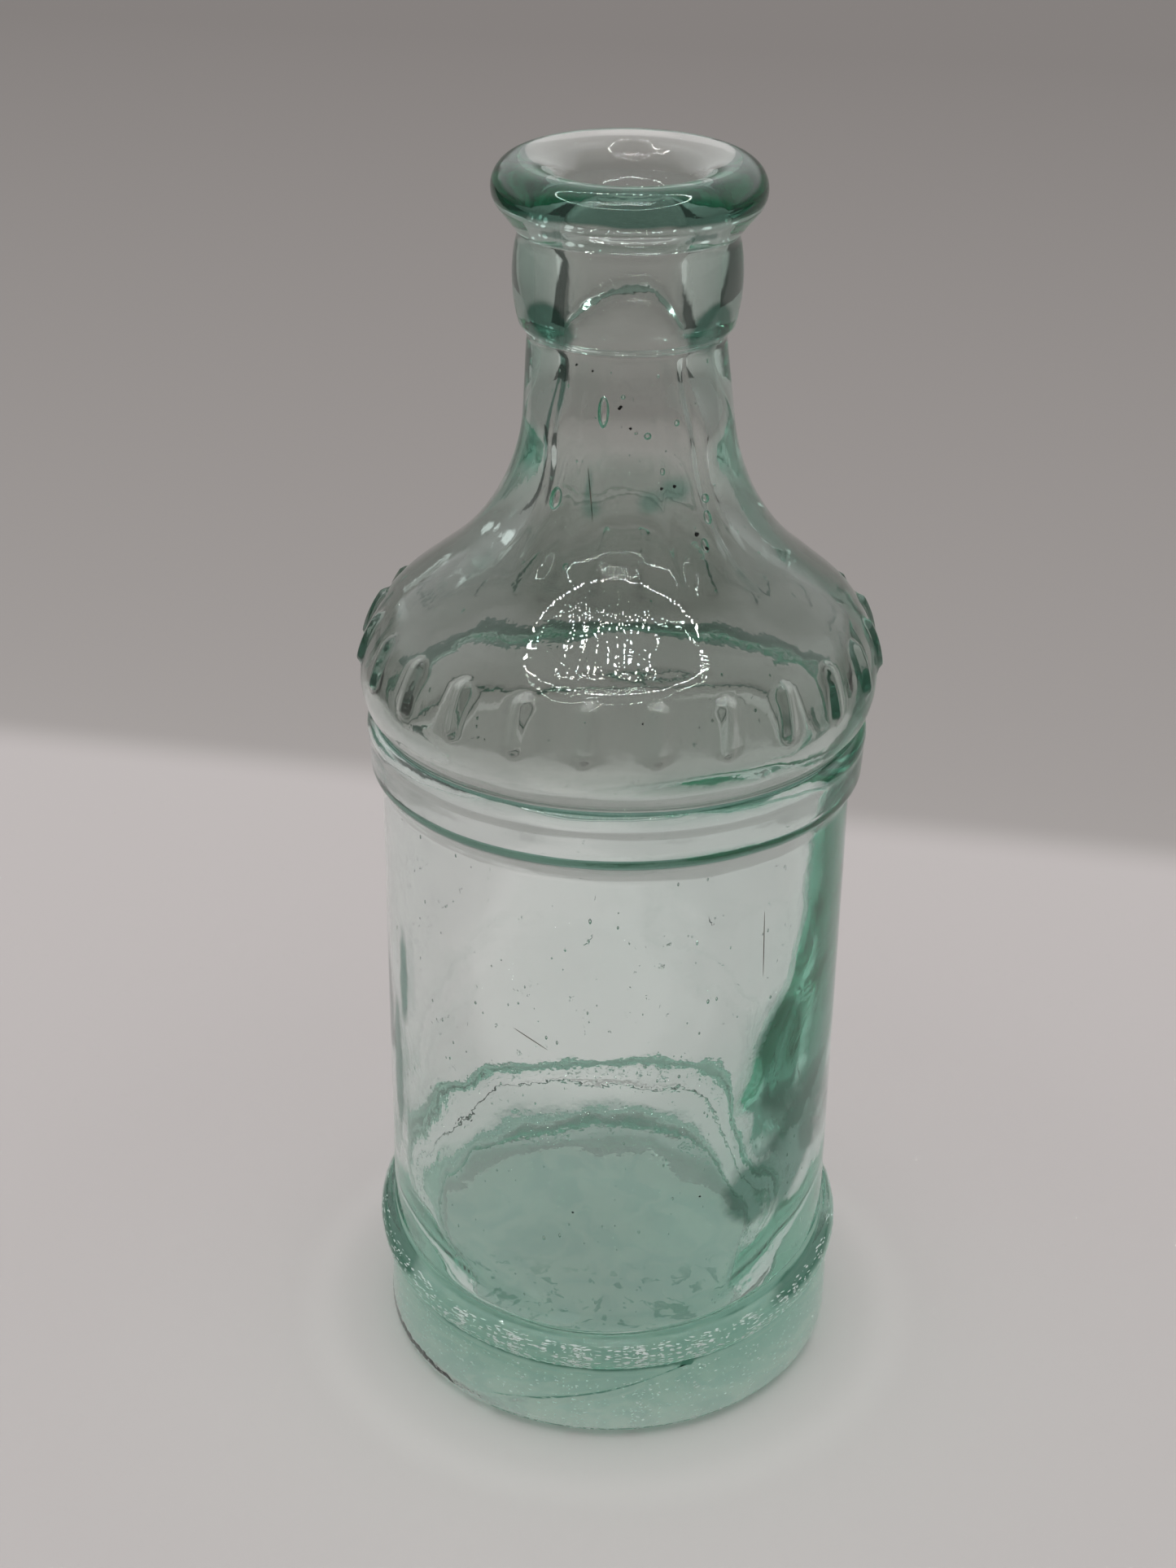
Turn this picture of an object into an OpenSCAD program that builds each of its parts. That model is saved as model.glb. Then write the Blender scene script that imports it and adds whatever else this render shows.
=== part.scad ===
// Pouring ink bottle, mould-blown in one piece of pale aqua glass.
// Millimetres, +Z up, origin at the middle of the resting plane.

/* [Body] */
// Radius of the plain cylindrical body
body_r = 27; // [25.5:0.5:30]
// Length of the plain cylindrical body
body_h = 63.1; // [50:0.1:80]
// Thickness of the body wall
body_wall = 2.7; // [1.8:0.1:3.6]

/* [Foot] */
// How far the foot band stands out from the body
foot_step = 1.2; // [0.8:0.1:2]
// Height of the foot band up to its crease
foot_h = 9.9; // [8:0.1:14]
// Radius of the rounded heel
heel_round = 2.5; // [1:0.1:4]
// Width of the flat ring that the bottle stands on
stand_w = 5.5; // [3:0.1:8]
// Depth of the hollow under the base
kick_depth = 1.4; // [0.5:0.1:2.5]
// Thickness of glass between the resting plane and the inside floor
base_t = 9; // [6:0.1:12]
// Radius of the inside corner between wall and floor
floor_round = 6.5; // [3:0.1:10]
// Depth of the crease under the foot bead
crease_d = 0.6; // [0.3:0.1:1]
// Height of the crease under the foot bead
crease_h = 0.5; // [0.3:0.1:1]
// Height of the rounded bead above the foot band
bead_h = 3.9; // [2.5:0.1:5]
// Swell of the foot bead over its chord
bead_swell = 1.5; // [0.8:0.1:1.8]

/* [Ring and groove] */
// Height of the ring above the body, up to its widest edge
ring_h = 4.7; // [3.5:0.1:6.5]
// How far the ring's widest edge stands out from the body
ring_step = 1.4; // [1:0.1:2]
// Swell of the ring's face over its chord
ring_swell = 0.5; // [0.2:0.1:0.7]
// Height from the ring's widest edge to the bottom of the groove
groove_h = 2.4; // [1.5:0.1:3.5]
// Depth of the groove, measured from the ring's widest edge
groove_d = 0.9; // [0.4:0.1:1.5]
// Swell of the glass on both sides of the groove
groove_swell = 0.5; // [0.2:0.1:0.7]

/* [Shoulder] */
// How far the widest line of the shoulder stands out from the body
shoulder_step = 2.2; // [1.6:0.1:3]
// Height from the groove to the widest line of the shoulder
shoulder_rise = 5; // [4:0.1:8]
// Radius of the round of the shoulder
shoulder_round = 12.2; // [9:0.1:14]
// Steepest lean of the shoulder, from upright
shoulder_lean = 51; // [46:1:56]
// Radius of the hollow sweep from shoulder to neck
neck_sweep = 24.6; // [18:0.1:27]
// Radius of the inside round of the shoulder
inner_round = 9; // [6:0.1:11]
// Radius of the inside sweep from shoulder to neck
inner_sweep = 14; // [8:0.1:18]
// Height of the inside round's start over the outside's
inner_lift = 1.5; // [-1:0.1:2]

/* [Raised bars on the shoulder] */
// Number of raised bars around the shoulder
bar_n = 24; // [12:4:32]
// Length of a raised bar along the shoulder
bar_len = 6; // [4:0.1:8]
// Width of a raised bar
bar_w = 1.5; // [0.8:0.1:2.2]
// Height of a raised bar over the glass around it
bar_rise = 0.6; // [0.3:0.1:1]
// Place of the bars on the round of the shoulder, as an angle from its widest line
bar_angle = 21; // [19:1:30]
// Depth of a bar's root in the wall
bar_root = 1; // [0.8:0.1:1.5]

/* [Neck] */
// Outer radius of the neck under the collar
neck_r = 10.6; // [10:0.1:12]
// Taper of the neck, from upright
neck_taper = 5; // [1:0.5:7]
// Height of the tapered neck above the sweep
neck_h = 9.2; // [5:0.1:20]
// Thickness of the neck wall under the collar
neck_wall = 2.6; // [1.6:0.1:2.9]

/* [Collar] */
// Height of the collar's rounded lower edge
collar_edge_h = 0.8; // [0.4:0.1:1.5]
// Height of the collar band above that edge
collar_h = 9.3; // [8:0.1:12]
// How far the collar's edges stand out from the neck
collar_step = 1; // [0.4:0.1:1.4]
// Swell of the collar band over its chord
collar_swell = 0.6; // [0.2:0.1:1]

/* [Lip and mouth] */
// Height of the flared underside of the lip
flare_h = 2.7; // [1.5:0.1:4]
// How far the flare opens out from the collar's edge
flare_step = 2.1; // [1:0.1:3]
// Height of the rounded lip above the flare
lip_h = 4.7; // [3.5:0.1:6.5]
// Swell of the rounded lip over its chord
lip_swell = 1.4; // [0.8:0.1:2]
// How far the top of the lip is drawn in from the flare's edge
lip_draw = 1.5; // [0.5:0.1:2]
// Radius where the top of the lip turns down into the mouth
mouth_r = 8.7; // [8:0.1:10]
// Drop from the top of the lip to that turn
mouth_drop = 0.6; // [0.2:0.1:1.2]
// Swell of the lip's top face over its chord
crown_swell = 0.3; // [0.1:0.1:0.5]
// Depth of the rounded funnel from the turn down to the bore
funnel_h = 3; // [2:0.1:4.5]
// Swell of the rounded funnel over its chord
funnel_swell = 0.5; // [0.2:0.1:0.7]
// Radius of the straight bore that holds the cork
bore_r = 6.9; // [5.5:0.1:7.5]
// Length of the straight bore
bore_h = 11; // [6:0.1:13]
// Height over which the bore opens out into the neck
relief_h = 5; // [3:0.1:8]

/* [Hidden] */
$fn = 96;

short_steps = 6;          // pieces in a short arc of the section
long_steps = 14;          // pieces in a long arc of the section
quarter_swell = 1 - cos(45);
kick_swell = kick_depth / 4;

foot_r = body_r + foot_step;
stand_out_r = foot_r - heel_round;
stand_in_r = stand_out_r - stand_w;
ring_r = body_r + ring_step;
groove_r = ring_r - groove_d;
shoulder_r = body_r + shoulder_step;
neck_low_r = neck_r + neck_h * tan(neck_taper);
collar_r = neck_r + collar_step;
flare_r = collar_r + flare_step;
lip_top_r = flare_r - lip_draw;
body_in_r = body_r - body_wall;
neck_in_r = neck_r - neck_wall;

z_crease = foot_h + crease_h;
z_body = z_crease + bead_h;
z_ring = z_body + body_h;
z_ring_edge = z_ring + ring_h;
z_groove = z_ring_edge + groove_h;
z_shoulder = z_groove + shoulder_rise;
z_neck = z_shoulder
    + lean_height(shoulder_r, neck_low_r, shoulder_round, neck_sweep, neck_taper);
z_collar = z_neck + neck_h;
z_collar_edge = z_collar + collar_edge_h;
z_flare = z_collar_edge + collar_h;
z_lip = z_flare + flare_h;
z_top = z_lip + lip_h;
z_mouth = z_top - mouth_drop;
z_bore_top = z_mouth - funnel_h;
z_bore_low = z_bore_top - bore_h;
z_relief = z_bore_low - relief_h;
z_inner = z_shoulder + inner_lift;

// Height of a shoulder that rounds inwards, leans straight and sweeps up into a neck
function lean_height(r_low, r_top, round_r, sweep_r, taper) =
    let (drop = r_low - r_top - round_r * (1 - cos(shoulder_lean))
            - sweep_r * (cos(taper) - cos(shoulder_lean)))
    round_r * sin(shoulder_lean) + drop / tan(shoulder_lean)
    + sweep_r * (sin(shoulder_lean) - sin(taper));

// Outline of that shoulder, from above its widest line up to the neck
function lean_points(r_low, z_low, r_top, round_r, sweep_r, taper) =
    let (z_end = z_low + lean_height(r_low, r_top, round_r, sweep_r, taper))
    concat(
        [for (i = [1 : long_steps])
            let (a = shoulder_lean * i / long_steps)
            [r_low - round_r * (1 - cos(a)), z_low + round_r * sin(a)]],
        [for (i = [0 : long_steps])
            let (a = shoulder_lean + (taper - shoulder_lean) * i / long_steps)
            [r_top + sweep_r * (cos(taper) - cos(a)), z_end + sweep_r * (sin(taper) - sin(a))]]
    );

// Points inside an arc from p to q, bulging by swell to the right of the way from p to q
function bow(p, q, swell, steps) =
    let (
        chord = norm(q - p),
        along = (q - p) / chord,
        right = [along[1], -along[0]] * sign(swell),
        half = 2 * atan(2 * abs(swell) / chord),
        arc_r = chord / 2 / sin(half)
    )
    [for (i = [1 : steps - 1])
        let (a = half * (2 * i / steps - 1))
        (p + q) / 2 + along * arc_r * sin(a) + right * arc_r * (cos(a) - cos(half))];

// Corners of the outer face, from the hollow under the base up to the top of the lip
kick_top = [0, kick_depth];
stand_in = [stand_in_r, 0];
stand_out = [stand_out_r, 0];
heel_top = [foot_r, heel_round];
crease_in = [foot_r - crease_d, z_crease];
body_low = [body_r, z_body];
body_top = [body_r, z_ring];
ring_edge = [ring_r, z_ring_edge];
groove = [groove_r, z_groove];
shoulder_wide = [shoulder_r, z_shoulder];
collar_low = [neck_r, z_collar];
collar_edge = [collar_r, z_collar_edge];
collar_top = [collar_r, z_flare];
flare_edge = [flare_r, z_lip];
lip_top = [lip_top_r, z_top];

// Corners of the inner face, from the floor up to the turn of the mouth
floor_edge = [body_in_r - floor_round, base_t];
wall_low = [body_in_r, base_t + floor_round];
wall_top = [body_in_r, z_inner];
relief_low = [neck_in_r, z_relief];
bore_low = [bore_r, z_bore_low];
bore_top = [bore_r, z_bore_top];
mouth_turn = [mouth_r, z_mouth];

outer_points = concat(
    [kick_top], bow(kick_top, stand_in, -kick_swell, short_steps), [stand_in],
    [stand_out], bow(stand_out, heel_top, heel_round * quarter_swell, short_steps), [heel_top],
    [[foot_r, foot_h]],
    [crease_in], bow(crease_in, body_low, bead_swell, long_steps), [body_low],
    [body_top], bow(body_top, ring_edge, ring_swell, short_steps),
    [ring_edge], bow(ring_edge, groove, groove_swell, short_steps),
    [groove], bow(groove, shoulder_wide, groove_swell, short_steps), [shoulder_wide],
    lean_points(shoulder_r, z_shoulder, neck_low_r, shoulder_round, neck_sweep, neck_taper),
    [collar_low], bow(collar_low, collar_edge, collar_edge_h * quarter_swell, short_steps),
    [collar_edge], bow(collar_edge, collar_top, collar_swell, long_steps), [collar_top],
    [flare_edge], bow(flare_edge, lip_top, lip_swell, long_steps),
    [lip_top], bow(lip_top, mouth_turn, crown_swell, short_steps)
);

inner_points = concat(
    [[0, base_t]],
    [floor_edge], bow(floor_edge, wall_low, floor_round * quarter_swell, long_steps), [wall_low],
    [wall_top], lean_points(body_in_r, z_inner, neck_in_r, inner_round, inner_sweep, 0),
    [relief_low], [bore_low], [bore_top],
    bow(bore_top, mouth_turn, -funnel_swell, short_steps), [mouth_turn]
);

function reversed(list) = [for (i = [len(list) - 1 : -1 : 0]) list[i]];

// The blown glass: one wall between the outer and the inner face
module glass_wall() {
    rotate_extrude()
        polygon(concat(outer_points, reversed(inner_points)));
}

// Upright outline of a raised bar, with round ends
module bar_outline() {
    end_shift = (bar_len - bar_w) / 2;
    square([bar_len - bar_w, bar_w], center = true);
    for (side = [-1, 1])
        translate([side * end_shift, 0])
            circle(d = bar_w);
}

// Raised bars that follow the round of the shoulder
module raised_bars() {
    round_centre_r = shoulder_r - shoulder_round;
    intersection() {
        rotate_extrude()
            translate([round_centre_r, z_shoulder])
                circle(r = shoulder_round + bar_rise);
        for (i = [0 : bar_n - 1])
            rotate([0, 0, (i + 0.5) * 360 / bar_n])
                translate([round_centre_r, 0, z_shoulder])
                    rotate([0, 90 - bar_angle, 0])
                        translate([0, 0, shoulder_round - bar_root])
                            linear_extrude(bar_root + 2 * bar_rise)
                                bar_outline();
    }
}

module bottle() {
    color([0.68, 0.86, 0.79, 0.5])
        union() {
            glass_wall();
            raised_bars();
        }
}

bottle();
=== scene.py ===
import math
import random
import bpy
import bmesh
from mathutils import Matrix, Vector, noise


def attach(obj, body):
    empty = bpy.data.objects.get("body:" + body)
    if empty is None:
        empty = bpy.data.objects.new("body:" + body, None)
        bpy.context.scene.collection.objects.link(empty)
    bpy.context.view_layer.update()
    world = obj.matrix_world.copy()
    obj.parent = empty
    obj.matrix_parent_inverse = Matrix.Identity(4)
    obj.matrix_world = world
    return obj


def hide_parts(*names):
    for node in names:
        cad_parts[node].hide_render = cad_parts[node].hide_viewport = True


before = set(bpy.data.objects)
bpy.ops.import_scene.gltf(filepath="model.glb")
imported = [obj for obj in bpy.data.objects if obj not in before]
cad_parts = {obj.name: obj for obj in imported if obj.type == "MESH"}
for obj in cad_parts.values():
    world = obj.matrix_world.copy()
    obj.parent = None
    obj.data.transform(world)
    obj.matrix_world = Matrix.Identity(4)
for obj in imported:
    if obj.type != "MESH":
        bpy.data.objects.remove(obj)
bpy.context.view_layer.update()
scene = bpy.context.scene
scene.view_settings.view_transform = "Standard"
scene.cycles.max_bounces = 20
scene.cycles.transmission_bounces = 20
scene.cycles.glossy_bounces = 16
scene.cycles.use_denoising = True
scene.cycles.sample_clamp_indirect = 0.0

mm = 0.001

# Camera of the photograph, in millimetres and degrees
viewpoint = {
    "target": (-3.2, 0.0, 73.9),
    "distance": 274.6,
    "pitch": 27.02,
    "roll": 0.74,
    "focalPixels": 2894.0,
    "pictureHeight": 1927.0,  # in pixels
    "sensorHeight": 36.0,
    "clipStart": 0.01,        # in metres
}


def placeCamera(v):
    pitch, roll = math.radians(v["pitch"]), math.radians(v["roll"])
    ahead = Vector((0, math.cos(pitch), -math.sin(pitch)))
    level = Vector((0, math.sin(pitch), math.cos(pitch)))
    side = Vector((1, 0, 0))
    right = side * math.cos(roll) + level * math.sin(roll)
    up = level * math.cos(roll) - side * math.sin(roll)
    data = bpy.data.cameras.new("camera")
    data.sensor_fit = "VERTICAL"
    data.sensor_height = v["sensorHeight"]
    data.lens = v["focalPixels"] / v["pictureHeight"] * v["sensorHeight"]
    data.clip_start = v["clipStart"]
    camera = bpy.data.objects.new("camera", data)
    scene.collection.objects.link(camera)
    turn = Matrix((right, up, -ahead)).transposed().to_4x4()
    spot = Vector(v["target"]) * mm - ahead * v["distance"] * mm
    camera.matrix_world = Matrix.Translation(spot) @ turn
    scene.camera = camera


placeCamera(viewpoint)
print("camera placed")


# The bottle's section in millimetres: corners of the outer and the inner face,
# and the swell of each round stretch
glassForm = {
    "bodyRadius": 27.0,
    "bodyWall": 2.7,
    "footRadius": 28.2,
    "footHeight": 9.9,
    "heelRound": 2.5,
    "standWidth": 5.5,
    "kickDepth": 1.4,
    "baseThickness": 9.0,
    "floorRound": 2.5,
    "bowlRise": 2.4,
    "bowlDip": 0.7,
    "creaseDepth": 0.6,
    "creaseHeight": 10.4,
    "bodyLow": 14.3,
    "beadSwell": 1.5,
    "bodyTop": 77.4,
    "ringStep": (28.3, 78.9),
    "ringStepSwell": 0.42,
    "ringEdge": (28.4, 82.1),
    "ringSwell": 0.03,
    "groove": (27.5, 84.5),
    "grooveSwell": 0.5,
    "shoulderWide": (29.2, 89.5),
    "shoulderRound": 12.2,
    "shoulderLean": 51.0,
    "neckSweep": 24.6,
    "neckTaper": 5.0,
    "sweepEnd": (11.405, 119.39),
    "collarLow": (10.6, 128.59),
    "collarEdge": (11.6, 129.39),
    "collarTop": (11.6, 138.69),
    "collarFoot": 0.25,
    "collarSwell": 0.6,
    "flareEdge": (13.7, 141.39),
    "lipTop": (12.2, 146.09),
    "lipSwell": 1.4,
    "mouthTurn": (8.7, 145.49),
    "crownSwell": 0.3,
    "boreRadius": 6.9,
    "boreTop": 142.49,
    "boreLow": (6.0, 125.5),
    "funnelSwell": 0.5,
    "innerShoulder": (26.8, 89.5),
    "innerGroove": (25.35, 84.5),
    "innerRing": (25.35, 79.0),
    "innerBody": 75.5,
    "innerRound": 9.5,
    "innerSweep": 17.0,
    "innerSweepEnd": (8.0, 116.4),
    "columns": 240,
    "barCount": 24,
    "barLength": 6.0,
    "barWidth": 1.5,
    "barRise": 0.6,
    "barFlank": 0.3,
    "barAngle": 21.0,
}


def bow(p, q, swell, steps):
    # points inside an arc from p to q that bulges by swell to the right of the way
    p, q = Vector(p), Vector(q)
    chord = (q - p).length
    along = (q - p) / chord
    right = Vector((along.y, -along.x)) * (1 if swell > 0 else -1)
    half = 2 * math.atan(2 * abs(swell) / chord)
    radius = chord / 2 / math.sin(half)
    points = []
    for i in range(1, steps):
        a = half * (2 * i / steps - 1)
        bulge = radius * (math.cos(a) - math.cos(half))
        points.append((p + q) / 2 + along * radius * math.sin(a) + right * bulge)
    return points


def straight(p, q, steps):
    return [Vector(p).lerp(Vector(q), i / steps) for i in range(1, steps)]


def lean(low, top, roundRadius, sweepRadius, taper, leanAngle, steps):
    # the round, the straight lean and the hollow sweep from a shoulder's widest point to its neck
    a0, a1 = math.radians(leanAngle), math.radians(taper)
    points = []
    for i in range(1, steps + 1):
        a = a0 * i / steps
        points.append(Vector((low[0] - roundRadius * (1 - math.cos(a)),
                              low[1] + roundRadius * math.sin(a))))
    sweep = []
    for i in range(steps):
        a = a0 + (a1 - a0) * i / steps
        sweep.append(Vector((top[0] + sweepRadius * (math.cos(a1) - math.cos(a)),
                             top[1] + sweepRadius * (math.sin(a1) - math.sin(a)))))
    return points + straight(points[-1], sweep[0], 5) + sweep


def smoothStep(x):
    x = max(0.0, min(1.0, x))
    return x * x * (3 - 2 * x)


def outerSection(g):
    # the last number of each stretch is the rows of faces in it
    quarter = 1 - math.cos(math.pi / 4)
    standOut = g["footRadius"] - g["heelRound"]
    kickTop, standIn = (0, g["kickDepth"]), (standOut - g["standWidth"], 0)
    heelTop, footTop = (g["footRadius"], g["heelRound"]), (g["footRadius"], g["footHeight"])
    creaseIn = (g["footRadius"] - g["creaseDepth"], g["creaseHeight"])
    bodyLow, bodyTop = (g["bodyRadius"], g["bodyLow"]), (g["bodyRadius"], g["bodyTop"])
    points = [Vector(kickTop)] + bow(kickTop, standIn, -g["kickDepth"] / 4, 10) + [Vector(standIn)]
    points += straight(standIn, (standOut, 0), 3) + [Vector((standOut, 0))]
    points += bow((standOut, 0), heelTop, g["heelRound"] * quarter, 8) + [Vector(heelTop)]
    points += straight(heelTop, footTop, 30) + [Vector(footTop), Vector(creaseIn)]
    points += bow(creaseIn, bodyLow, g["beadSwell"], 14) + [Vector(bodyLow)]
    points += straight(bodyLow, bodyTop, 34) + [Vector(bodyTop)]
    points += bow(bodyTop, g["ringStep"], g["ringStepSwell"], 6) + [Vector(g["ringStep"])]
    points += bow(g["ringStep"], g["ringEdge"], g["ringSwell"], 7) + [Vector(g["ringEdge"])]
    points += bow(g["ringEdge"], g["groove"], g["grooveSwell"], 8) + [Vector(g["groove"])]
    points += bow(g["groove"], g["shoulderWide"], g["grooveSwell"], 9) + [Vector(g["shoulderWide"])]
    points += lean(g["shoulderWide"], g["sweepEnd"], g["shoulderRound"], g["neckSweep"],
                   g["neckTaper"], g["shoulderLean"], 22)
    points += [Vector(g["sweepEnd"])] + straight(g["sweepEnd"], g["collarLow"], 8) + [Vector(g["collarLow"])]
    points += bow(g["collarLow"], g["collarEdge"], g["collarFoot"], 4) + [Vector(g["collarEdge"])]
    points += bow(g["collarEdge"], g["collarTop"], g["collarSwell"], 12) + [Vector(g["collarTop"])]
    points += straight(g["collarTop"], g["flareEdge"], 4) + [Vector(g["flareEdge"])]
    points += bow(g["flareEdge"], g["lipTop"], g["lipSwell"], 14) + [Vector(g["lipTop"])]
    points += bow(g["lipTop"], g["mouthTurn"], g["crownSwell"], 7) + [Vector(g["mouthTurn"])]
    return points


def innerSection(g):
    quarter = 1 - math.cos(math.pi / 4)
    wall = g["bodyRadius"] - g["bodyWall"]
    boreTop, boreLow, neckEnd = (g["boreRadius"], g["boreTop"]), g["boreLow"], g["innerSweepEnd"]
    bowlTop = g["baseThickness"] + g["bowlRise"]
    wallLow, floorEdge = (wall, bowlTop + g["floorRound"]), (wall - g["floorRound"], bowlTop)
    floorMid = (0, g["baseThickness"])
    points = bow(g["mouthTurn"], boreTop, g["funnelSwell"], 8) + [Vector(boreTop)]
    points += straight(boreTop, boreLow, 11) + [Vector(boreLow)]
    rows = 11
    for i in range(1, rows + 1):
        share = i / rows
        points.append(Vector((boreLow[0] + (neckEnd[0] - boreLow[0]) * smoothStep(share),
                              boreLow[1] + (neckEnd[1] - boreLow[1]) * share)))
    shoulder = lean(g["innerShoulder"], g["innerSweepEnd"], g["innerRound"], g["innerSweep"],
                    0.0, g["shoulderLean"], 12)
    points += shoulder[::-1] + [Vector(g["innerShoulder"])]
    wallHigh = (wall, g["innerBody"])
    for low, high, steps in ((g["innerGroove"], g["innerShoulder"], 5), (g["innerRing"], g["innerGroove"], 5),
                             (wallHigh, g["innerRing"], 5)):
        for i in range(1, steps + 1):
            share = i / steps
            points.append(Vector((low[0] + (high[0] - low[0]) * smoothStep(1 - share),
                                  high[1] + (low[1] - high[1]) * share)))
    points += straight(wallHigh, wallLow, 44) + [Vector(wallLow)]
    points += bow(wallLow, floorEdge, -g["floorRound"] * quarter, 7) + [Vector(floorEdge)]
    points += bow(floorEdge, floorMid, -g["bowlDip"], 15) + [Vector(floorMid)]
    return points


def barRelief(g, angle, radius, height):
    # rise of the raised bars at a place on the shoulder, in millimetres
    centreR = g["shoulderWide"][0] - g["shoulderRound"]
    lift = math.degrees(math.atan2(height - g["shoulderWide"][1], radius - centreR)) - g["barAngle"]
    alongBar = math.radians(lift) * g["shoulderRound"]
    cell = 2 * math.pi / g["barCount"]
    across = ((angle / cell) % 1.0 - 0.5) * cell * radius
    overEnd = max(0.0, abs(alongBar) - (g["barLength"] - g["barWidth"]) / 2)
    away = math.hypot(overEnd, across) - g["barWidth"] / 2
    return g["barRise"] * smoothStep((g["barFlank"] - away) / (2 * g["barFlank"]))


def waves(place, size, seed):
    # smooth noise between about -1 and 1, another one for each seed
    return noise.noise(Vector(place) / size + Vector((seed, seed * 1.7, -seed * 0.6)))


def newPiece(name, bm):
    mesh = bpy.data.meshes.new(name)
    bm.to_mesh(mesh)
    bm.free()
    piece = bpy.data.objects.new(name, mesh)
    scene.collection.objects.link(piece)
    return piece


def turnSection(bm, line, steps):
    # a closed shell from a line of vertices that starts and ends on the axis
    edges = [bm.edges.new(pair) for pair in zip(line, line[1:])]
    bmesh.ops.spin(bm, geom=line + edges, cent=(0, 0, 0), axis=(0, 0, 1), dvec=(0, 0, 0),
                   angle=2 * math.pi, steps=steps, use_merge=True)
    bmesh.ops.remove_doubles(bm, verts=bm.verts, dist=1e-5)
    bmesh.ops.recalc_face_normals(bm, faces=bm.faces)


# What the blowing and the mould left uneven, in millimetres and degrees
glassFlow = {
    "outerWaves": ((0.03, 9.0, 3.1), (0.012, 3.5, 7.7)),   # depth, size and seed
    "innerWaves": ((0.12, 6.0, 5.2), (0.035, 2.4, 9.4)),
    "streaks": (0.5, 9.0, 1.3),
    "streakReach": (14.0, 0.35),   # scale of the streaks round the wall and along it
    "streakIn": (2.0, 8.0),   # the radius where they start, and the way that they take
    "standTop": 0.02,
    "barsTop": 103.0,
    "columnDraw": 0.6,        # share by which the columns of faces gather at the bars' flanks
    "beadRise": 2.4,          # the bead and its creases climb towards the back
    "beadRiseIn": (1.5, 8.0),      # height where the climb starts, and the height that it takes
    "beadRiseOut": (15.0, 22.0),
    "beadRiseRadius": (20.0, 6.0),
    "lipTilt": 2.9,
    "lipTiltIn": (139.5, 4.0),
    "neckAside": 0.7,         # the shoulder and the neck stand a little to the right
    "asideIn": (86.0, 18.0),
    "asideOut": (116.0, 14.0),
    "asideLoss": 0.6,         # the share of it that is lost again higher up
    # thick places of the lower wall: angle, height, thickness, half width in degrees and half height
    "lumps": ((0, 40, 3.6, 38, 11), (178, 13, 3.2, 48, 6), (2, 14, 3.4, 45, 7)),
    "lumpsTop": 75.0,
    "wallAngle": -5.0,
    "wallThick": 1.3,         # the wall is thicker on the right and thinner on the left
    "wallIn": (0.0, 20.0),
    "wallOut": (75.0, 25.0),
    "thinPlace": (-36.0, 20.0, 1.5),   # but thinner high on the right: angle, half width, depth
    "thinIn": (42.0, 16.0),
    "floorLean": 0.6,
    "floorLeanOut": (12.0, 20.0),
    "footInset": 0.6,         # the foot stands back on the left
    "footInsetIn": (0.0, 3.0),
    "footInsetOut": (8.6, 2.0),
    "foldDepth": 0.8,         # the slanting fold in the foot's front
    "foldHeight": 7.4,        # its height at this angle, and its climb for each degree
    "foldAngle": -88.0,
    "foldClimb": 0.143,
    "foldSpan": (-150.0, -50.0),
    "foldIn": (2.5, 2.0),
    "foldWidth": 0.38,
    "foldRidge": (1.3, 0.9, 0.5),      # the swell above it: how far up, half width and share of its depth
    "foldShade": (1.1, 0.3, 3.2, 1.5),  # depth and half width of the painted shade along it, and where that starts
    "foldShadeSpan": (-145.0, -55.0),
    "flutesIn": (98.0, 8.0),
    "flutesOut": (122.0, 6.0),
    "fluteSway": (2.5, 6.0),
    # flutes that the tool left down the neck: angle, depth and half width
    "flutes": ((-67, 0.10, 3.5), (-38, 0.16, 4.0), (-128, 0.09, 4.5), (-148, 0.08, 4.0),
               (20, 0.12, 5.0), (105, 0.08, 6.0), (160, 0.12, 5.0)),
    # painted shade, patches where the glass looks darker: angle, height, half width, half height and depth of
    # tone of each patch
    "patches": ((-20, 63, 13, 24, 1.2), (-26, 44, 15, 12, 1), (-36, 37, 14, 9, 1), (-41, 32, 12, 6, 1),
                (-14, 66, 9, 14, 1.8), (-44, 49, 8, 8, 1.2), (-53, 32, 8, 5, 1.1),
                (-160, 41, 4, 12, 1), (-154, 55, 3, 8, 1), (-164, 13.6, 26, 1.3, 1), (-24, 13.8, 22, 1.3, 1),
                (-136, 130.6, 17, 2.6, 1.2), (-42, 130.6, 17, 2.6, 1.2), (-172, 120, 8, 9, 1)),
    # painted shade, dark lines where the glass is folded tight: height, half width, depth of tone, from and to
    # which angle
    "creaseShadeLines": ((78.65, 0.45, 2.4, -200, 20), (84.5, 0.22, 1.0, -200, 20), (84.2, 1.0, 2.4, 20, 160),
                  (0.75, 0.5, 1.0, -120, -20), (10.2, 0.25, 1.1, -175, -5), (14.4, 0.2, 0.55, -165, -15)),
    # the lip's dark band, painted shade: height, half width, depth of tone and its loss over the half width
    "lipShadeBand": (144.7, 1.5, 1.35, 0.6),
    "lipShadeBandReach": 0.8,      # how far it goes in past the lip's top
    "lipShadeBandBack": (0.2, 0.5),         # it fades out towards the back
    # soft smudges, given as the patches are
    "smudges": ((-80, 113.2, 9, 1.6, 1.1), (-68, 114.2, 12, 1.8, 1.1), (-107, 112.5, 8, 1.6, 1),
                (-110, 114.5, 3, 3.5, 1), (-152, 116.5, 7, 4.0, 1)),
}


def hollow(away, width):
    # a smooth dip of depth 1 at 0
    return math.exp(-(away / width) ** 2)


def rise(value, stretch):
    # 0 below the start of a stretch, 1 beyond its length
    start, length = stretch
    return smoothStep((value - start) / length)


def foldPlace(f, degrees, height):
    return height - f["foldHeight"] - f["foldClimb"] * (degrees - f["foldAngle"])


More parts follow.
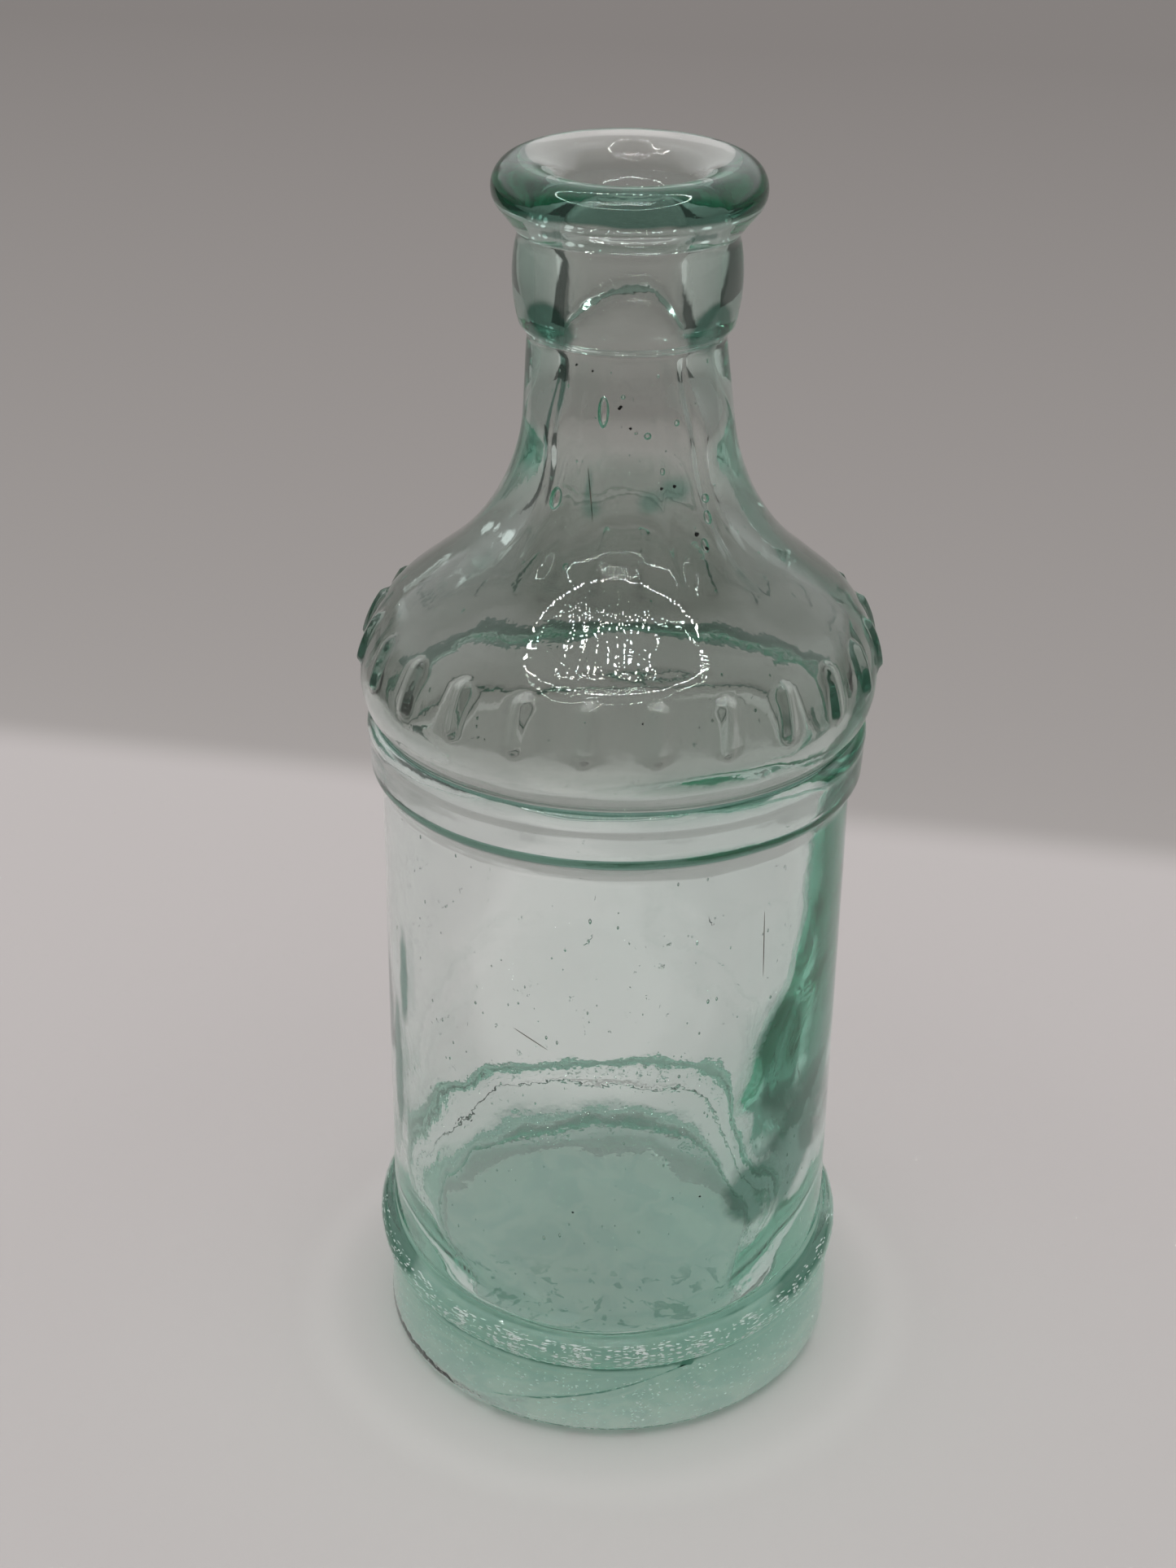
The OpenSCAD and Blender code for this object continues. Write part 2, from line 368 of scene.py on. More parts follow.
def outerShift(g, f, p, angle, radius, height):
    shift = sum(depth * waves(p, size, seed) for depth, size, seed in f["outerWaves"])
    if g["shoulderWide"][1] - 2 < height < f["barsTop"]:
        shift += barRelief(g, angle, radius, height)
    degrees = math.degrees(angle)
    if height <= g["footHeight"] and radius > g["footRadius"] - g["heelRound"] - 0.5:
        share = rise(height, f["footInsetIn"]) * (1 - rise(height, f["footInsetOut"]))
        shift -= f["footInset"] * smoothStep(-math.cos(angle)) * share
    low, high = f["foldSpan"]
    if height < g["footHeight"] and radius > g["footRadius"] - 2 and low < degrees < high:
        up = foldPlace(f, degrees, height)
        above, width, share = f["foldRidge"]
        swell = share * hollow(up - above, width) - hollow(up, f["foldWidth"])
        shift += f["foldDepth"] * rise(height, f["foldIn"]) * swell
    return shift


def innerShift(f, p, angle, radius, height):
    # positive thickens the wall
    degrees = math.degrees(angle)
    side = math.cos(angle - math.radians(f["wallAngle"]))
    onWall = rise(height, f["wallIn"]) * (1 - rise(height, f["wallOut"]))
    around, along = f["streakReach"]
    depth, size, seed = f["streaks"]
    streak = waves((math.cos(angle) * around, math.sin(angle) * around, height * along), size, seed)
    shift = f["wallThick"] * side * onWall + depth * streak * rise(radius, f["streakIn"])
    place, width, depth = f["thinPlace"]
    shift -= depth * hollow(degrees - place, width) * rise(height, f["thinIn"]) * onWall
    shift += sum(depth * waves(p, size, seed) for depth, size, seed in f["innerWaves"])
    if height > f["flutesIn"][0]:
        sway, period = f["fluteSway"]
        degrees += sway * math.sin(height / period)
        share = rise(height, f["flutesIn"]) * (1 - rise(height, f["flutesOut"]))
        for place, depth, width in f["flutes"]:
            shift += depth * share * hollow((degrees - place + 180) % 360 - 180, width)
    return shift


def patchField(patches, angle, height):
    # 1 in the middle of a patch, 0.5 on its edge, 0 well outside
    field = 0.0
    for place, level, halfWidth, halfHeight, depth in patches:
        across = ((math.degrees(angle) - place + 180) % 360 - 180) / halfWidth
        field = max(field, depth * (1 - 0.5 * math.hypot(across, (height - level) / halfHeight)))
    return field


def lineField(lines, angle, height):
    # full near the middle of a line, nothing beyond one and a half times its half width
    field, degrees = 0.0, math.degrees(angle)
    for level, halfWidth, depth, start, end in lines:
        if start < degrees < end:
            field = max(field, depth * smoothStep(1.5 - abs(height - level) / halfWidth))
    return field


def lumpShare(g, f, angle, height):
    # how far the thick places draw the inside in, as a share of its radius
    total = 0.0
    for place, level, thick, halfWidth, halfHeight in f["lumps"]:
        across = (math.degrees(angle) - place + 180) % 360 - 180
        total += thick * hollow(across, halfWidth) * hollow(height - level, halfHeight)
    return total / (g["bodyRadius"] - g["bodyWall"])


def crooked(f, p):
    # leans and shifts that the whole wall shares
    p.x += f["neckAside"] * rise(p.z, f["asideIn"]) * (1 - f["asideLoss"] * rise(p.z, f["asideOut"]))
    p.z += p.y * math.tan(math.radians(f["lipTilt"])) * rise(p.z, f["lipTiltIn"])


seedPlan = {
    "count": 680,
    "seed": 11,
    "bodyHeights": (17, 76),
    "neckHeights": (92, 127),
    "bodyPerNeck": 5,         # one in so many lies in the shoulder or the neck
    "radius": (0.07, 0.21),
    "shrink": (0.6, 1.0),     # a second draw that makes small ones more common
    "flatness": 0.8,
    "stretch": (1.0, 2.2),
    "depth": (0.45, 0.62),
    "namedDepth": 1.1,
    "leastDepth": 1.3,        # in radii, so that none breaks the skin
    # the larger ones: angle, height, radius and stretch
    "named": ((-104.6, 122.3, 0.62, 2.8), (-79.7, 119.9, 0.40, 1.0), (-128.7, 112.8, 0.75, 1.8),
              (-48.8, 112.9, 0.50, 1.1), (-50.1, 111.1, 0.50, 1.7), (-55.6, 108.7, 0.45, 1.9),
              (-93.0, 124.0, 0.25, 1.0), (-72.0, 116.2, 0.28, 1.5), (-62.0, 121.0, 0.3, 1.2),
              (-115.0, 107.0, 0.35, 1.3)),
}


def wallSpot(line, height):
    # the place on a section line at a height, and its normal
    for a, b in zip(line, line[1:]):
        if a.y <= height <= b.y and b.y - a.y > 1e-6:
            way = (b - a).normalized()
            return a.lerp(b, (height - a.y) / (b.y - a.y)), Vector((way.y, -way.x))


def skinPlace(outer, f, place, height, depth=0.0):
    # turns a shape's own x outwards and puts it on the outer face, or below it
    spot, normal = wallSpot(outer, height)
    spot = spot - normal * depth
    angle = math.radians(place)
    p = Vector((spot.x * math.cos(angle), spot.x * math.sin(angle), spot.y))
    crooked(f, p)
    tilt = Matrix.Rotation(angle, 4, "Z") @ Matrix.Rotation(-math.atan2(normal.y, normal.x), 4, "Y")
    return Matrix.Translation(p * mm) @ tilt


def ballShape(subdivisions, hollowed=False):
    bm = bmesh.new()
    bmesh.ops.create_icosphere(bm, subdivisions=subdivisions, radius=1.0)
    if hollowed:
        bmesh.ops.reverse_faces(bm, faces=bm.faces)
    shape = bpy.data.meshes.new("ballShape")
    bm.to_mesh(shape)
    bm.free()
    return shape


def addShape(bm, shape, matrix):
    moved = shape.copy()
    moved.transform(matrix)
    bm.from_mesh(moved)
    bpy.data.meshes.remove(moved)


def addSeeds(bm, s, f, outer):
    # gas bubbles shut in the wall: small hollows whose faces look into the hollow
    rng = random.Random(s["seed"])
    dot, ball = ballShape(1, hollowed=True), ballShape(2, hollowed=True)
    plan = [(*spot, s["namedDepth"], ball) for spot in s["named"]]
    for i in range(s["count"]):
        height = rng.uniform(*s["bodyHeights"]) if i % s["bodyPerNeck"] else rng.uniform(*s["neckHeights"])
        plan.append((rng.uniform(-180, 180), height, rng.uniform(*s["radius"]) * rng.uniform(*s["shrink"]),
                     rng.uniform(*s["stretch"]), rng.uniform(*s["depth"]), dot))
    seeds = bmesh.new()
    for place, height, radius, stretch, depth, shape in plan:
        size = Matrix.Diagonal((radius * mm * s["flatness"], radius * mm, radius * stretch * mm, 1))
        addShape(seeds, shape, skinPlace(outer, f, place, height, max(depth, radius * s["leastDepth"])) @ size)
    joined = bpy.data.meshes.new("seeds")
    seeds.to_mesh(joined)
    seeds.free()
    bm.from_mesh(joined)
    for shape in (dot, ball, joined):
        bpy.data.meshes.remove(shape)


def paintedShadeTone(g, f, angle, radius, height):
    # the painted shade at a place of the outer face: patches, crease lines, the lip's band and the fold's line
    tone = max(patchField(f["patches"], angle, height), lineField(f["creaseShadeLines"], angle, height))
    if radius > g["lipTop"][0] - f["lipShadeBandReach"]:
        level, half, depth, loss = f["lipShadeBand"]
        near = 1 - rise(math.sin(angle), f["lipShadeBandBack"])
        tone = max(tone, near * (depth - loss * abs(height - level) / half))
    degrees = math.degrees(angle)
    depth, width, start, length = f["foldShade"]
    low, high = f["foldShadeSpan"]
    if start < height < g["footHeight"] and radius > g["bodyRadius"] and low < degrees < high:
        tone = max(tone, depth * hollow(foldPlace(f, degrees, height), width) * rise(height, (start, length)))
    return tone


def makeBottle(g, f, s):
    outer, inner = outerSection(g), innerSection(g)
    section = outer + inner
    count = len(section)
    bm = bmesh.new()
    # for each vertex: its way outwards, which face it is on, and its tones for the material, painted shade and
    # smudges
    outLayer = bm.verts.layers.float.new("outR")
    upLayer = bm.verts.layers.float.new("outZ")
    faceLayer = bm.verts.layers.float.new("face")
    patchLayer = bm.verts.layers.float.new("patch")
    smudgeLayer = bm.verts.layers.float.new("smudge")
    line = []
    for i, p in enumerate(section):
        v = bm.verts.new((p.x, 0, p.y))
        before, after = section[max(0, i - 1)], section[min(count - 1, i + 1)]
        way = (after - before).normalized()
        v[outLayer], v[upLayer] = way.y, -way.x
        v[faceLayer] = 0.0 if i < len(outer) else 1.0
        line.append(v)
    turnSection(bm, line, g["columns"])
    cell = 2 * math.pi / g["barCount"]
    for v in bm.verts:
        radius, height = math.hypot(v.co.x, v.co.y), v.co.z
        angle = math.atan2(v.co.y, v.co.x)
        u = (angle / cell) % 1.0
        angle += cell * f["columnDraw"] * math.sin(2 * math.pi * u) / (2 * math.pi)
        inside = v[faceLayer] > 0.5
        p = Vector((radius * math.cos(angle), radius * math.sin(angle), height))
        if inside:
            shift = innerShift(f, p, angle, radius, height)
        else:   # the stand ring stays flat
            shift = outerShift(g, f, p, angle, radius, height) if height > f["standTop"] else 0
        p.x += math.cos(angle) * v[outLayer] * shift
        p.y += math.sin(angle) * v[outLayer] * shift
        p.z += v[upLayer] * shift
        if inside and height < f["lumpsTop"]:
            share = 1 - lumpShare(g, f, angle, height)
            p.x, p.y = p.x * share, p.y * share
            p.z += f["floorLean"] * (1 + p.y / g["bodyRadius"]) * (1 - rise(height, f["floorLeanOut"]))
        if not inside:
            climb = rise(height, f["beadRiseIn"]) * (1 - rise(height, f["beadRiseOut"]))
            climb *= rise(radius, f["beadRiseRadius"])
            p.z += f["beadRise"] * (1 + p.y / g["bodyRadius"]) * climb
            # painted shade for the material, kept in the patch attribute
            v[patchLayer] = paintedShadeTone(g, f, angle, radius, height)
            v[smudgeLayer] = patchField(f["smudges"], angle, height)
        crooked(f, p)
        v.co = p * mm
    addSeeds(bm, s, f, outer)
    piece = newPiece("bottleGlass", bm)
    piece.data.shade_smooth()
    return piece


glassLook = {
    "bend": 1.52,
    "clearness": 0.98,
    "tint": (0.07, 0.74, 0.54),
    "tintDensity": 25.0,
    "hazeColour": (0.63, 0.65, 0.62),   # a faint haze in the shoulder
    "hazeIn": (83, 90),       # the heights between which it sets in
    "neckColour": (1.0, 0.95, 0.95),
    "neckIn": (102, 112),
    # darker tones, the first two painted shade and the last the smudges: the field that drives them, the span
    # of it in which they set in, and the colour
    "tones": (("patch", 0.82, 1.08, (0.08, 0.20, 0.155)), ("patch", 1.7, 2.3, (0.03, 0.11, 0.07)),
              ("smudge", 0.86, 1.30, (0.36, 0.62, 0.54))),
    "ragged": (1.6, 0.22),    # size and share of the noise that roughens their edges
    "raggedScale": (0.45, 0.45, 1.0),
    "cloud": (6.0, 0.5),      # size and share of the noise that blurs them
    "baseTone": (0.76, 0.81, 0.81),
    "baseTop": (14, 13),      # the inside of the base, by its height and its reach from the middle
    "baseLow": (5, 6),
    "baseEdge": (24.5, 23.5),
    "bitColour": (0.22, 0.40, 0.34),
    "bitSize": 2.6,
    "bitCurl": 1.2,
    "bitEdge": (0.57, 0.64),
    "bitPlace": (-4.0, -12.0),
    "grain": (0.75, 0.05),    # size and depth of the foot's grain
    "grainTop": (11, 8),      # none above the first height, full below the second
    "ripples": ((2.6, 0.018), (0.7, 0.0055)),   # size and depth
    "shadowColour": (0.88, 0.92, 0.90),
}


def newMaterial(name, roughness, specular=0.5):
    mat = bpy.data.materials.new(name)
    mat.use_nodes = True
    nodes, links = mat.node_tree.nodes, mat.node_tree.links
    shader = nodes["Principled BSDF"]
    shader.inputs["Roughness"].default_value = roughness
    shader.inputs["Specular IOR Level"].default_value = specular
    return mat, nodes, links, shader


def mathNode(nodes, links, operation, a, b=0.0):
    node = nodes.new("ShaderNodeMath")
    node.operation = operation
    for i, value in enumerate((a, b)):
        if isinstance(value, (int, float)):
            node.inputs[i].default_value = value
        else:
            links.new(value, node.inputs[i])
    return node.outputs[0]


def rampNode(nodes, links, value, low, high, smooth=True):
    # 0 below low, 1 above high
    node = nodes.new("ShaderNodeMapRange")
    node.interpolation_type = "SMOOTHSTEP" if smooth else "LINEAR"
    node.inputs["From Min"].default_value = low
    node.inputs["From Max"].default_value = high
    links.new(value, node.inputs["Value"])
    return node.outputs["Result"]


def placeRamp(nodes, links, value, span):
    # the same between two places in millimetres
    return rampNode(nodes, links, value, span[0] * mm, span[1] * mm)


def mixNode(nodes, links, factor, a, b):
    node = nodes.new("ShaderNodeMix")
    node.data_type = "RGBA"
    links.new(factor, node.inputs["Factor"])
    for name, value in (("A", a), ("B", b)):
        if isinstance(value, tuple):
            node.inputs[name].default_value = (*value, 1)
        else:
            links.new(value, node.inputs[name])
    return node.outputs["Result"]


def noiseNode(nodes, links, place, size, detail=2.0, distortion=0.0):
    node = nodes.new("ShaderNodeTexNoise")
    node.inputs["Scale"].default_value = 1 / (size * mm)
    node.inputs["Detail"].default_value = detail
    node.inputs["Distortion"].default_value = distortion
    links.new(place, node.inputs["Vector"])
    return node.outputs["Fac"]


def bumpNode(nodes, links, height, depth, under=None):
    node = nodes.new("ShaderNodeBump")
    node.inputs["Distance"].default_value = depth * mm
    links.new(height, node.inputs["Height"])
    if under:
        links.new(under.outputs["Normal"], node.inputs["Normal"])
    return node


def reachNode(nodes, links, place):
    node = nodes.new("ShaderNodeVectorMath")
    node.operation = "LENGTH"
    links.new(place, node.inputs[0])
    return node.outputs["Value"]


def mappingNode(nodes, links, place, kind, values):
    node = nodes.new("ShaderNodeMapping")
    node.vector_type = kind
    for name, value in values.items():
        node.inputs[name].default_value = value
    links.new(place, node.inputs["Vector"])
    return node.outputs["Vector"]


def splitNode(nodes, links, place):
    node = nodes.new("ShaderNodeSeparateXYZ")
    links.new(place, node.inputs["Vector"])
    return node.outputs


def aquaGlass(k):
    mat, nodes, links, shader = newMaterial("aquaGlass", 0.0)
    shader.inputs["IOR"].default_value = k["bend"]
    shader.inputs["Transmission Weight"].default_value = k["clearness"]
    place = nodes.new("ShaderNodeTexCoord").outputs["Object"]
    split = splitNode(nodes, links, place)
    height = split["Z"]
    haze, neck = (placeRamp(nodes, links, height, k[name]) for name in ("hazeIn", "neckIn"))
    colour = mixNode(nodes, links, haze, (1.0, 1.0, 1.0), k["hazeColour"])
    colour = mixNode(nodes, links, neck, colour, k["neckColour"])
    # painted shade in patches with ragged edges, and soft smudges
    stretched = mappingNode(nodes, links, place, "POINT", {"Scale": k["raggedScale"]})
    ragged = noiseNode(nodes, links, stretched, k["ragged"][0], detail=4.0)
    cloud = noiseNode(nodes, links, place, k["cloud"][0])
    uneven = mathNode(nodes, links, "ADD", mathNode(nodes, links, "MULTIPLY", ragged, k["ragged"][1]),
                      mathNode(nodes, links, "MULTIPLY", cloud, k["cloud"][1]))
    for name, low, high, tone in k["tones"]:
        field = nodes.new("ShaderNodeAttribute")
        field.attribute_name = name
        raised = mathNode(nodes, links, "ADD", field.outputs["Fac"], uneven)
        colour = mixNode(nodes, links, rampNode(nodes, links, raised, low, high), colour, tone)
    # the inside of the base, with dark bits near its front
    level = mathNode(nodes, links, "MULTIPLY", placeRamp(nodes, links, height, k["baseTop"]),
                     placeRamp(nodes, links, height, k["baseLow"]))
    flat = nodes.new("ShaderNodeCombineXYZ")
    for name in "XY":
        links.new(split[name], flat.inputs[name])
    flat = flat.outputs["Vector"]
    edge = placeRamp(nodes, links, reachNode(nodes, links, flat), k["baseEdge"])
    inBase = mathNode(nodes, links, "MULTIPLY", edge, level)
    colour = mixNode(nodes, links, inBase, colour, k["baseTone"])
    forward = placeRamp(nodes, links, split["Y"], k["bitPlace"])
    curl = noiseNode(nodes, links, flat, k["bitSize"], detail=3.0, distortion=k["bitCurl"])
    bits = mathNode(nodes, links, "MULTIPLY", rampNode(nodes, links, curl, *k["bitEdge"]),
                    mathNode(nodes, links, "MULTIPLY", inBase, forward))
    colour = mixNode(nodes, links, bits, colour, k["bitColour"])
    links.new(colour, shader.inputs["Base Color"])
    # fine ripples of the chilled skin, and the grain of the foot
    bump = None
    for size, depth in k["ripples"]:
        bump = bumpNode(nodes, links, noiseNode(nodes, links, place, size, detail=1.0), depth, bump)
    bump = bumpNode(nodes, links, noiseNode(nodes, links, place, k["grain"][0]), k["grain"][1], bump)
    links.new(placeRamp(nodes, links, height, k["grainTop"]), bump.inputs["Strength"])
    links.new(bump.outputs["Normal"], shader.inputs["Normal"])
    tint = nodes.new("ShaderNodeVolumeAbsorption")
    tint.inputs["Color"].default_value = (*k["tint"], 1)
    tint.inputs["Density"].default_value = k["tintDensity"]
    links.new(tint.outputs["Volume"], nodes["Material Output"].inputs["Volume"])
    # light on its way to the floor passes the glass, so the bottle casts only a faint shadow
    path = nodes.new("ShaderNodeLightPath")
    clear = nodes.new("ShaderNodeBsdfTransparent")
    clear.inputs["Color"].default_value = (*k["shadowColour"], 1)
    mix = nodes.new("ShaderNodeMixShader")
    links.new(path.outputs["Is Shadow Ray"], mix.inputs["Fac"])
    links.new(shader.outputs["BSDF"], mix.inputs[1])
    links.new(clear.outputs["BSDF"], mix.inputs[2])
    links.new(mix.outputs["Shader"], nodes["Material Output"].inputs["Surface"])
    return mat


bottle = makeBottle(glassForm, glassFlow, seedPlan)
bottle.data.materials.append(aquaGlass(glassLook))
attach(bottle, "root")
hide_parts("bottle")
print("bottle made", len(bottle.data.polygons))

# the worn, matt skin of the underside, seen through the base
wornBase = {
    "radius": 24.3,
    "above": 0.22,
    "thickness": 0.10,
    "columns": 72,
    "paleColour": (0.80, 0.63, 0.64),
    "dullColour": (0.69, 0.575, 0.59),
    "dullEdge": (0.40, 0.64),
    "mottle": (5.0, 0.8),     # size and curl
}


def makeWornBase(w, g):
    underside = [p for p in outerSection(g) if p.y < g["heelRound"] and p.x < w["radius"]]
    underside.append(Vector((w["radius"], 0)))
    low = [Vector((p.x, p.y + w["above"])) for p in underside]
    section = low + [Vector((p.x, p.y + w["thickness"])) for p in low[::-1]]
    bm = bmesh.new()
    turnSection(bm, [bm.verts.new((p.x * mm, 0, p.y * mm)) for p in section], w["columns"])
    piece = newPiece("wornBase", bm)
    piece.data.shade_smooth()
    mat, nodes, links, shader = newMaterial("wornSkin", 1.0, 0.0)
    place = nodes.new("ShaderNodeTexCoord").outputs["Object"]
    size, curl = w["mottle"]
    mottle = noiseNode(nodes, links, place, size, detail=4.0, distortion=curl)
    dull = rampNode(nodes, links, mottle, *w["dullEdge"])
    links.new(mixNode(nodes, links, dull, w["paleColour"], w["dullColour"]), shader.inputs["Base Color"])
    piece.data.materials.append(mat)
    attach(piece, "root")


makeWornBase(wornBase, glassForm)
print("worn base made")

# black specks in the skin of the glass: angle, height and radius of each;
# brown scratches: angle, height, half length and lean
specks = {
    "seed": 4,
    "dots": ((-94.2, 123.15, 0.20), (-89.2, 120.9, 0.15), (-119.7, 127.0, 0.12), (-109.7, 126.6, 0.12),
             (-67.5, 114.7, 0.20), (-74.3, 114.6, 0.15), (-60.1, 109.8, 0.22), (-56.7, 108.3, 0.22),
             (-99.2, 32.4, 0.16), (-67.6, 33.6, 0.14), (-86.0, 95.0, 0.10), (120.0, 60.0, 0.15),
             (60.0, 45.0, 0.12)),
    "dotFlat": 0.4,
    "dotStretch": (0.7, 1.3),
    "dotColour": (0.012, 0.011, 0.010),
    "scratches": ((-109.9, 55.1, 2.3, 64), (-52.6, 65.3, 4.3, 2), (-108.7, 113.8, 2.9, 12)),
    "scratchWidth": 0.07,
    "scratchFlat": 0.35,
    "scratchColour": (0.20, 0.17, 0.14),
}


# the dull finish that specks, scratches and scuffs share
plainLook = {
    "roughness": 0.7,
    "grain": 0.6,
    "dark": 0.6,              # the darkest of it, as a share of the colour
}


def plainSkin(k, name, colour):
    mat, nodes, links, shader = newMaterial(name, k["roughness"])
    grain = noiseNode(nodes, links, nodes.new("ShaderNodeTexCoord").outputs["Object"], k["grain"])
    dark = tuple(k["dark"] * c for c in colour)
    links.new(mixNode(nodes, links, grain, dark, colour), shader.inputs["Base Color"])
    return mat


def makeSpecks(s, f, outer):
    rng = random.Random(s["seed"])
    soot, scratch = bmesh.new(), bmesh.new()
    for place, height, radius in s["dots"]:
        spot = skinPlace(outer, f, place, height)
        for i in range(2):
            aside = Matrix.Translation(Vector((0, rng.uniform(-1, 1), rng.uniform(-1, 1))) * radius * i * mm)
            tall = rng.uniform(*s["dotStretch"])
            size = Matrix.Diagonal((radius * s["dotFlat"] * mm, radius * mm, radius * tall * mm, 1))
            bmesh.ops.create_icosphere(soot, subdivisions=1, radius=1.0, matrix=spot @ aside @ size)
    width = s["scratchWidth"] * mm
    for place, height, halfLength, tilt in s["scratches"]:
        turn = Matrix.Rotation(math.radians(tilt), 4, "X")
        size = Matrix.Diagonal((width * s["scratchFlat"], width, halfLength * mm, 1))
        bmesh.ops.create_uvsphere(scratch, u_segments=8, v_segments=12, radius=1.0,
                                  matrix=skinPlace(outer, f, place, height) @ turn @ size)
    for name, bm, colour in (("specks", soot, s["dotColour"]), ("scratches", scratch, s["scratchColour"])):
        piece = newPiece(name, bm)
        piece.data.materials.append(plainSkin(plainLook, name, colour))
        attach(piece, "root")


makeSpecks(specks, glassFlow, outerSection(glassForm))
print("specks made")

# pale scuffs on the bead, the heel and the foot
scuffs = {
    "seed": 8,
    # from and to which height, number, half length and half width
    "bands": ((10.9, 14.0, 1900, (0.05, 0.50), (0.03, 0.10)), (0.2, 2.0, 700, (0.08, 0.45), (0.06, 0.16)),
              (2.0, 9.8, 1000, (0.04, 0.22), (0.03, 0.11))),
    "top": 20.0,              # they lie below this height and beyond this radius
    "beyond": 25.9,
    "thickness": 0.02,
    "slope": 0.15,
    "astray": (0.3, 0.15),    # how far one is moved at random, along and up
    "allRound": 0.4,          # share of them that lies anywhere; the others gather at the front
    "colour": (0.78, 0.83, 0.80),
}


def makeScuffs(s, f, g, glass):
    rng = random.Random(s["seed"])
    flake, flakes = ballShape(1), bmesh.new()
    for low, high, count, halfLength, halfWidth in s["bands"]:
        band = []
        for spot in glass.data.vertices:
            p = spot.co / mm
            if p.z < s["top"] and math.hypot(p.x, p.y) > s["beyond"]:
                climb = f["beadRise"] * (1 + p.y / g["bodyRadius"]) * rise(p.z, f["beadRiseIn"])
                if low < p.z - climb < high:
                    band.append(spot)
        weights = [s["allRound"] + max(0.0, -spot.co.y / spot.co.xy.length) ** 2 for spot in band]
        for spot in rng.choices(band, weights=weights, k=count):
            normal = spot.normal
            slope = rng.uniform(-s["slope"], s["slope"])
            along = Vector((-normal.y, normal.x, slope)).normalized()
            up = normal.cross(along).normalized()
            turn = Matrix((normal, along, up)).transposed().to_4x4()
            size = Matrix.Diagonal((s["thickness"] * mm, rng.uniform(*halfLength) * mm,
                                    rng.uniform(*halfWidth) * mm, 1))
            aside, above = (rng.uniform(-reach, reach) * mm for reach in s["astray"])
            addShape(flakes, flake, Matrix.Translation(spot.co + along * aside + up * above) @ turn @ size)
    bpy.data.meshes.remove(flake)
    piece = newPiece("scuffs", flakes)
    piece.data.materials.append(plainSkin(plainLook, "scuffs", s["colour"]))
    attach(piece, "root")


makeScuffs(scuffs, glassFlow, glassForm, bottle)
print("scuffs made")

stageLook = {
    "sheetColour": (0.503, 0.468, 0.462),   # the floor that the bottle stands on
    "nearColour": (0.370, 0.345, 0.335),    # the floor beyond the sheet's edge, near and far
    "farColour": (0.225, 0.208, 0.200),
    "frontColour": (0.060, 0.055, 0.053),   # the floor well in front and well to the sides
    "edgeY": 137.0,
    "edgeSlant": -11.6,
    "edgeSoft": 8.0,
    "farY": 920.0,
    "frontY": -150.0,
    "frontSoft": 60.0,
    "sideX": 165.0,
    "sideSoft": 30.0,
    "floorRadius": 3000.0,
    "floorGap": 0.05,
    "glowRadius": 27.0,       # painted light that the bottle gathers, from this radius outwards
    # painted light under the bottle: the tint of the sheet there, and where it sets in
    "underLightTone": (1.14, 0.92, 0.97),
    "underLightEdge": (28.0, 25.0),
    "glowRound": 1.08,
    "glowReach": 80.0,
    "lightRing": (37.0, 4.5, 0.05),   # middle, half width and gain of the painted ring of light round the foot
    # a painted streak of light behind the bottle: its middle, half sizes, even share and gain
    "streak": (0.0, 82.0, 27.0, 62.0, 0.45, 0.2),
    "airColour": (0.235, 0.220, 0.212),
    "frontAir": (0.100, 0.095, 0.092),
    "frontEdge": (-0.5, 0.3),
    "backGlow": (0.90, 0.90, 0.90),
    "backGlowHigh": (0.10, 0.30),
    "backGlowEdge": (-0.15, 0.25),
    "glowBent": 0.06,         # the share of it that bent rays see
    # distant lamps behind, which only the glass shows: direction, rise and half width in degrees
    "farLamps": ((124, 15, 6), (34, 26, 8), (84, 22, 3), (108, 13, 4)),
    "lampSoft": (1.3, 0.7),
    "lampGlow": (0.85, 0.85, 0.85),
    "lightLow": 0.35,
    "lightHigh": 1.75,
    "lightRise": (0.35, 1.0),
}


